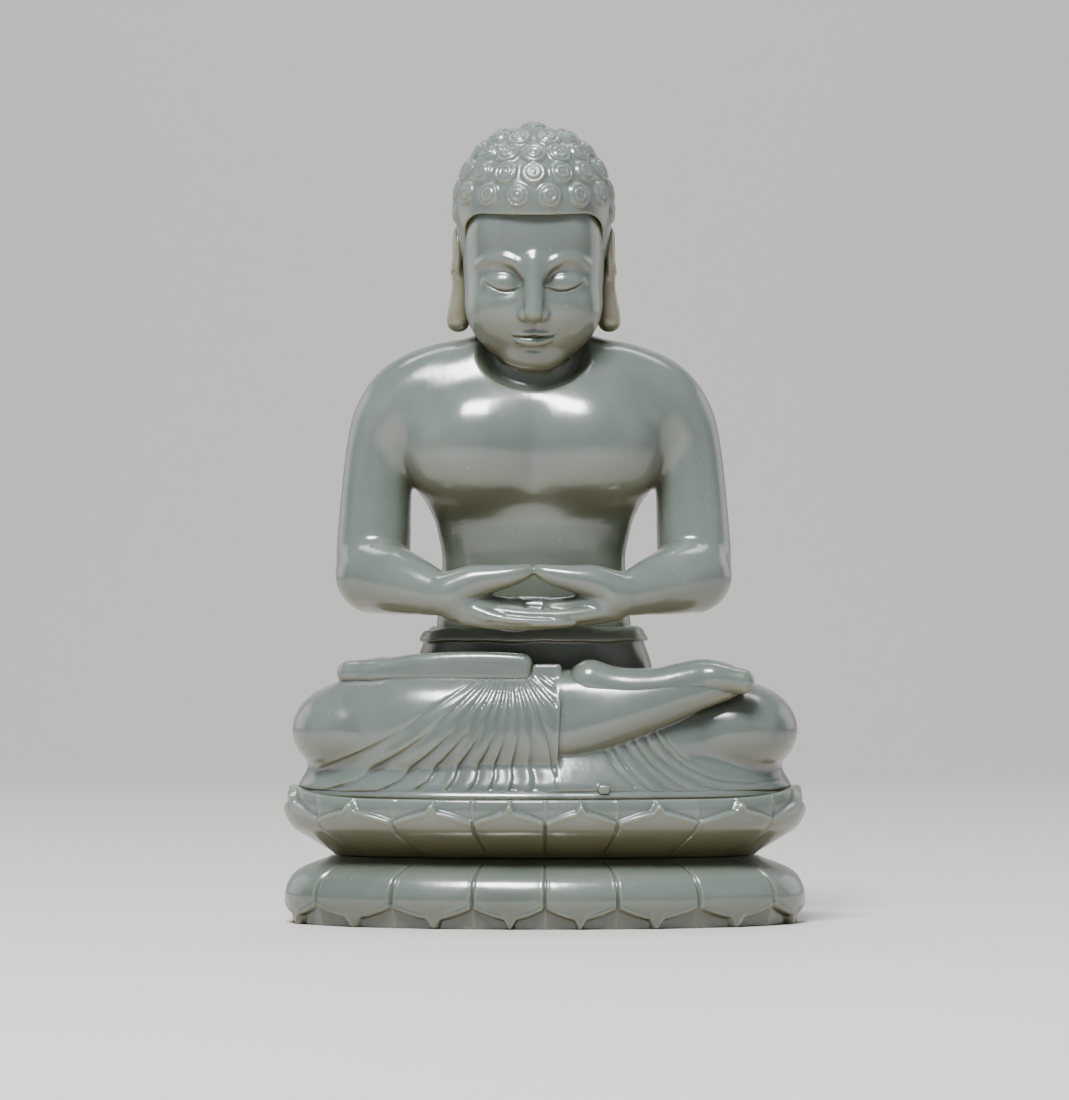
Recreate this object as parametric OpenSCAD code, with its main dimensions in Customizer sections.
// Seated figure in meditation on a double lotus throne, carved in pale jade.
// Millimetres. +Z is up, the figure faces -Y, and the origin is the middle of the throne's foot.
// The stone has no joints, so each node is one carved element, cut from its neighbours
// along the carved lines, and the nodes meet face to face.

/* [Throne] */
// Width across the widest petals
throne_w = 131; // [120:1:145]
// Depth across the widest petals
throne_d = 68; // [62:1:80]
// Height of the lower tier, whose petals point down
lower_h = 17; // [14:0.5:20]
// Height of the upper tier, whose petals point up
upper_h = 14; // [12:0.5:18]
// Height of the plain seat between the petals and the robe
seat_h = 3; // [2:0.5:4]
// Petals around each tier
petals = 16; // [12:2:20]
// Depth of the grooves between the petals
groove = 1.2; // [0.6:0.1:1.6]
// Rise of each upper petal's tip above the grooves
tip_rise = 2.2; // [1:0.1:3]

/* [Legs] */
// Distance across both knees
knee_span = 126; // [120:1:130]
// Height of the knees above the seat
knee_top = 27.6; // [25:0.1:29]
// Length of each foot
foot_len = 46; // [42:1:48]

/* [Body] */
// Offset of the body's centre line from the middle of the throne
body_x = -2.8; // [-4:0.1:4]
// Distance across both elbows
elbow_span = 99; // [96:0.5:102]
// Thickness of the upper arms
arm_d = 18; // [16:0.5:19]
// Thickness of the wrists
wrist_d = 10.4; // [9:0.1:11]
// Thickness of the fingers
finger_d = 4; // [3:0.1:4.4]

/* [Head] */
// Width of the face
face_w = 35.2; // [33:0.2:37]
// Forward bow of the head in degrees
bow = 7; // [0:1:10]
// Diameter of each curl of hair
curl_d = 6; // [5:0.1:6.4]
// Length of the ears with their lobes
ear_len = 25; // [22:0.5:27]

/* [Hidden] */

JADE = [0.62, 0.69, 0.64];
JADE_DEEP = [0.55, 0.62, 0.56];
JADE_WARM = [0.72, 0.70, 0.58];

segments = petals * 8;
seat_z = lower_h + upper_h + seat_h;
seat_inset = 5;
knee_r = 15.5;
knee_x = knee_span / 2 - knee_r;
knee_z = 14;
arm_r = arm_d / 2;
arm_x = elbow_span / 2 - arm_r;
wrist_r = wrist_d / 2;
finger_r = finger_d / 2;
face_r = face_w / 2;
neck_z = 112;
hair_top = [0, 2, 144];
hair_r = [19, 21, 20.7];
slice_t = 0.2;
// Facets around large lumps, slender parts and small details.
big_fn = 24;
slim_fn = 16;
fine_fn = 10;

// Rows of the tiers: [height as a share of the tier, inset, share of the groove's depth].
LOWER_ROWS = [[0, 1.5, 1.8], [0.16, 1.1, 1.5], [0.32, 0.6, 1.1], [0.47, 0.4, 1],
              [0.62, 1.5, 1], [0.77, 3.7, 1], [0.91, 8, 0.6], [1, 13.5, 0]];
UPPER_ROWS = [[0, 13.5, 0], [0.1, 11.6, 0.6], [0.28, 7.6, 1], [0.46, 3.2, 1.1],
              [0.64, 1, 1], [0.82, 0, 0.9], [0.98, 0.3, 1.3]];

// ---------- Outlines and shared forms ----------

// Turns an even step around the throne into an ellipse's own angle, so that petals are alike.
function even_angle(u) = u - 28.65 * (throne_w - throne_d) / (throne_w + throne_d) * sin(2 * u);

// 0 in the groove between two petals, 1 on a petal's middle line.
function petal_middle(i) = 1 - abs(2 * (i / 8 - floor(i / 8)) - 1);

// One point of the throne's outline, drawn in by an inset and by the groove.
function rim_point(i, inset, cut) =
    let (t = even_angle(360 * i / segments),
         dip = inset + cut * pow(1 - petal_middle(i), 3))
    [(throne_w / 2 - dip) * sin(t), -(throne_d / 2 - dip) * cos(t)];

function rim_ring(z, inset, cut, rise) =
    [for (i = [0 : segments - 1]) let (p = rim_point(i, inset, cut))
        [p.x, p.y, z + rise * pow(petal_middle(i), 2)]];

function outline(inset) = [for (i = [0 : segments - 1]) rim_point(i, inset, 0)];

// Closed solid through a stack of rings that all have the same number of points.
module ring_stack(rings) {
    n = len(rings[0]);
    top = len(rings) - 1;
    walls = [for (k = [0 : top - 1], i = [0 : n - 1])
        [k * n + i, (k + 1) * n + i, (k + 1) * n + (i + 1) % n, k * n + (i + 1) % n]];
    floor_face = [for (i = [0 : n - 1]) i];
    roof_face = [for (i = [0 : n - 1]) top * n + n - 1 - i];
    polyhedron([for (ring = rings) each ring], concat([floor_face], walls, [roof_face]));
}

// Egg-shaped lump with its own radius along each axis.
module lump(at, radii, fn = big_fn) {
    translate(at) scale(radii) sphere(r = 1, $fn = fn);
}

// Round limb through points given as [x, y, z, radius].
module limb(points, fn = big_fn) {
    for (i = [0 : len(points) - 2]) {
        hull() {
            for (p = [points[i], points[i + 1]]) {
                translate([p.x, p.y, p.z]) sphere(r = p[3], $fn = fn);
            }
        }
    }
}

// Trunk through level slices given as [z, half width, half depth, y of the middle].
module trunk(slices) {
    for (i = [0 : len(slices) - 2]) {
        hull() {
            for (s = [slices[i], slices[i + 1]]) {
                translate([0, s[3], s[0]]) scale([s[1], s[2], 1]) cylinder(r = 1, h = slice_t, $fn = 48);
            }
        }
    }
}

// ---------- Whole forms, before their neighbours are cut away; z = 0 is the top of the seat ----------

module lap_form() {
    knee_ry = 17;
    difference() {
        for (side = [-1, 1]) {
            knee = [side * knee_x, -3, knee_z];
            knee_radii = [knee_r, knee_ry, knee_top - knee_z];
            shin = [side * 24, -13, 12];
            shin_radii = [12, 13, 12];
            hip = [side * 16, 12, 12];
            hip_radii = [13, 14, 14];
            knee_hem = [side * (knee_x + 0.5), -3, 4];
            shin_hem = [side * 24, -13, 4];
            // Outer and inner shin down to the hem, thigh, buttock, and the robe spread between them.
            hull() {
                lump(knee, knee_radii);
                lump(shin, shin_radii);
                lump(knee_hem, [13, 15.5, 6]);
                lump(shin_hem, [12, 13, 6]);
            }
            hull() {
                lump(shin, shin_radii);
                lump([0, -15, 10], [12, 12.5, 12]);
                lump(shin_hem, [12, 13, 6]);
            }
            hull() { lump(knee, knee_radii); lump(hip, hip_radii); }
            hull() { lump(hip, hip_radii); lump([0, 8, 10], [14, 15, 12]); }
            hull() { lump(knee_hem, [13, 15.5, 6]); lump([side * 6, 12, 4], [18, 15, 7]); }
        }
        translate([-throne_w, -throne_d, -40]) cube([2 * throne_w, 2 * throne_d, 40]);
    }
}

// Foot laid sole upward on the thigh, with its heel at the middle and its toes outward (+X).
module foot_form(heel_z, arch_z, ball_z) {
    heel_x = 9;
    ball_x = heel_x + foot_len - 15;
    toe_pitch = 3.5;
    heel = [[heel_x, -15.5, heel_z], [6, 8, 4.3]];
    arch = [[heel_x + 15, -16.5, arch_z], [6, 7.5, 3.8]];
    ball = [[ball_x, -15.5, ball_z], [6, 9, 4.2]];
    for (pair = [[heel, arch], [arch, ball]]) {
        hull() {
            for (end = pair) {
                lump(end[0], end[1], slim_fn);
            }
        }
    }
    for (i = [0 : 4]) {
        y = -22.5 + toe_pitch * i;
        limb([[ball_x + 2, y, ball_z, 2.4], [ball_x + 9 - 0.8 * i, y, ball_z - 0.6, 2.2]], fine_fn);
    }
}

module torso_form() {
    trunk([[20, 26, 15, 2], [41, 24.6, 14.8, 2], [51, 23.6, 14, 2], [58, 23.5, 14.3, 1.6],
           [66, 25.5, 15.2, 1.4], [74, 29.5, 16.6, 1.2], [80, 32, 17.4, 1.2], [86, 33.6, 17.6, 1.4],
           [92, 33.8, 16.8, 1.9], [98, 32.4, 14.6, 2.4], [104, 27, 12, 2.6], [109, 17.5, 10.2, 2.4],
           [113, 11.5, 9.4, 2]]);
}

module sash_form() {
    trunk([[22, 31.5, 18.6, 1.4], [30, 30, 18.2, 1.6], [36, 28.9, 17.8, 2], [39.5, 28.2, 17.4, 2],
           [41, 26.4, 16, 2]]);
}

// Arm on the +X side: neck's root, shoulder, upper arm, elbow and the forearm forward to the wrist.
module arm_form() {
    limb([[13, 2, 107, 5], [26, 3, 101, 9.3], [arm_x - 5.4, 3, 94, arm_r + 2], [arm_x - 1.4, 3, 84, arm_r + 0.4],
          [arm_x - 0.3, 2, 71, arm_r], [arm_x, 0, 60, arm_r], [arm_x - 0.8, -3, 53, arm_r], [arm_x - 7, -12, 50.5, arm_r - 1.6],
          [26, -18.5, 49.5, wrist_r + 0.9], [20, -21.5, 49, wrist_r]]);
}

// Hand whose wrist is on the +X side. Its fingers run toward -X, row below row.
module hand_form(palm_y, reach, drop) {
    limb([[20, -21.5, 49, wrist_r - 0.1], [12, palm_y, 47, wrist_r - 0.7]], slim_fn);
    limb([[15, palm_y + 2.5, 51.5, 2.7], [8, palm_y + 2, 54.4, 2.4], [1.9, palm_y + 2, 56, 2.1]], fine_fn);
    for (i = [0 : 3]) {
        limb([[12, palm_y, 48.4 - 2.2 * i, finger_r], [-1, palm_y - 1.4, 45.8 - 1.9 * i, finger_r],
              [1.2 * i - reach, palm_y, 46 - drop - 1.4 * i, finger_r]], fine_fn);
    }
}

// Everything inside is bowed forward about the top of the neck.
module bowed() {
    translate([0, 0, neck_z]) rotate([bow, 0, 0]) translate([0, 0, -neck_z]) children();
}

module head_form() {
    limb([[0, 2, 102, 11], [0, 1, 120, 10.5]]);
    bowed() {
        hull() { lump([0, 1, 134], [face_r, 20, 20]); lump([0, -3, 125], [face_r - 0.5, 18.5, 16]); }
        hull() { lump([0, -3, 125], [face_r - 0.5, 18.5, 16]); lump([0, -8, 116], [9.5, 8, 8.5]); }
        // Nose, then brows, lids and lips in pairs.
        limb([[0, -18.6, 136, 1.6], [0, -21.6, 127.5, 2.4]], fine_fn);
        for (side = [-1, 1]) {
            brow = [[side * 2.5, -18.2, 137, 0.9], [side * 7.5, -16.3, 138.6, 0.9], [side * 12.5, -12.6, 137, 0.8]];
            limb(brow, fine_fn);
            limb([[side * 4.5, -17.2, 132.6, 1.9], [side * 9.5, -15.2, 132.6, 1.9]], fine_fn);
            limb([[0, -20.4, 121.4, 1.4], [side * 4.2, -19.7, 121.9, 0.9]], fine_fn);
        }
    }
}

// Curl on the hair's dome, at a turn around it from the back and at a rise above its rim.
module curl(turn, rise) {
    sunk = [for (k = [0 : 2]) hair_r[k] + 1.4 - curl_d / 2];
    at = [sunk.x * sin(turn) * cos(rise), sunk.y * cos(turn) * cos(rise), sunk.z * sin(rise)];
    translate(hair_top + at) sphere(d = curl_d, $fn = 6);
}

module hair_form() {
    bowed() {
        lump(hair_top, hair_r);
        for (row = [[16, 14], [14, 31], [10, 49], [6, 68]]) {
            for (i = [0 : row[0] - 1]) {
                curl(360 * (i + 0.5) / row[0], row[1]);
            }
        }
        curl(0, 90);
        // Back of the head, in rows that end behind the ears.
        hull() { lump([0, 4, 143], [18.6, 19, 17]); lump([0, 5, 121], [14, 15.5, 7]); }
        for (k = [0 : 3]) {
            for (i = [-3 : 3]) {
                turn = i * (23 - k) + (k % 2) * 6;
                r = [17.6 - 0.9 * k, 19.3 - 0.5 * k];
                translate([r.x * sin(turn), 4 + r.y * cos(turn), 140 - 6.4 * k]) sphere(d = curl_d, $fn = 6);
            }
        }
    }
}

// Space in front of the hairline, where the face is bare.
module face_space() {
    bowed() {
        translate([-30, -40, 90]) cube([60, 42, 53]);
    }
}

// Ear on the +X side: rim, bowl and the long lobe that flares outward.
module ear_form() {
    share = ear_len / 25;
    bowed() {
        for (pair = [[[18.2, 3, 137], [2, 3, 2.4], [19.2, 3.2, 132], [2.2, 3.9, 3.4]],
                     [[19.2, 3.2, 132], [2.2, 3.9, 3.4], [19.2, 2.4, 126], [2, 3.2, 3]],
                     [[19.2, 2.4, 126], [2, 3.2, 3], [19.4, 1.2, 120], [1.8, 2.6, 2.4]],
                     [[19.4, 1.2, 120], [1.8, 2.6, 2.4], [20.2, 0.6, 115.4], [2, 2.8, 2.2]]]) {
            hull() {
                lump([pair[0].x, pair[0].y, 138 + (pair[0].z - 138) * share], pair[1], slim_fn);
                lump([pair[2].x, pair[2].y, 138 + (pair[2].z - 138) * share], pair[3], slim_fn);
            }
        }
    }
}

// ---------- Nodes ----------

module on_seat() {
    translate([0, 0, seat_z]) children();
}

module on_body() {
    translate([body_x, 0, seat_z]) children();
}

module lotus_lower() {
    rings = [for (row = LOWER_ROWS) rim_ring(lower_h * row[0], row[1], groove * row[2], 0)];
    color(JADE) ring_stack(rings);
}

module lotus_upper() {
    lip = [rim_ring(lower_h + upper_h + 0.4, 2.4, 0, tip_rise), rim_ring(lower_h + upper_h, 4.4, 0, 0)];
    rings = [for (row = UPPER_ROWS)
        rim_ring(lower_h + upper_h * row[0], row[1], groove * row[2], row[0] > 0.9 ? tip_rise : 0)];
    color(JADE) ring_stack(concat(rings, lip));
}

module seat() {
    color(JADE_DEEP) translate([0, 0, lower_h + upper_h]) linear_extrude(seat_h) polygon(outline(seat_inset));
}

module lap_robe() {
    color(JADE) on_seat() lap_form();
}

module foot_left() {
    color(JADE) on_seat() difference() {
        mirror([1, 0, 0]) foot_form(29.5, 30, 30);
        lap_form();
        translate([body_x, 0, 0]) sash_form();
    }
}

module foot_right() {
    color(JADE) on_seat() difference() {
        foot_form(27.5, 26, 27.5);
        lap_form();
        translate([body_x, 0, 0]) sash_form();
    }
}

module sash() {
    color(JADE_DEEP) on_body() difference() {
        sash_form();
        torso_form();
        translate([-body_x, 0, 0]) lap_form();
    }
}

module torso() {
    color(JADE) on_body() difference() {
        torso_form();
        translate([-body_x, 0, 0]) lap_form();
    }
}

module arm(side) {
    color(JADE) on_body() difference() {
        scale([side, 1, 1]) arm_form();
        torso_form();
    }
}

module arm_left() {
    arm(-1);
}

module arm_right() {
    arm(1);
}

module hand_left_form() {
    mirror([1, 0, 0]) hand_form(-23, 15, 1.6);
}

module hand_left() {
    color(JADE) on_body() difference() {
        hand_left_form();
        mirror([1, 0, 0]) arm_form();
        torso_form();
    }
}

module hand_right() {
    color(JADE) on_body() difference() {
        union() {
            hand_form(-19.5, 8, 0);
            hull() { lump([8, -14, 47], [8, 5, 4.5], slim_fn); lump([-8, -14, 46], [6, 5, 4.5], slim_fn); }
        }
        arm_form();
        mirror([1, 0, 0]) arm_form();
        hand_left_form();
        torso_form();
    }
}

module head() {
    color(JADE) on_body() difference() {
        head_form();
        torso_form();
    }
}

module hair() {
    color(JADE_DEEP) on_body() difference() {
        hair_form();
        head_form();
        face_space();
        torso_form();
    }
}

module ear(side) {
    color(JADE_WARM) on_body() difference() {
        scale([side, 1, 1]) ear_form();
        head_form();
        difference() {
            hair_form();
            face_space();
        }
    }
}

module ear_left() {
    ear(-1);
}

module ear_right() {
    ear(1);
}

lotus_lower();
lotus_upper();
seat();
lap_robe();
foot_left();
foot_right();
sash();
torso();
arm_left();
arm_right();
hand_left();
hand_right();
head();
hair();
ear_left();
ear_right();
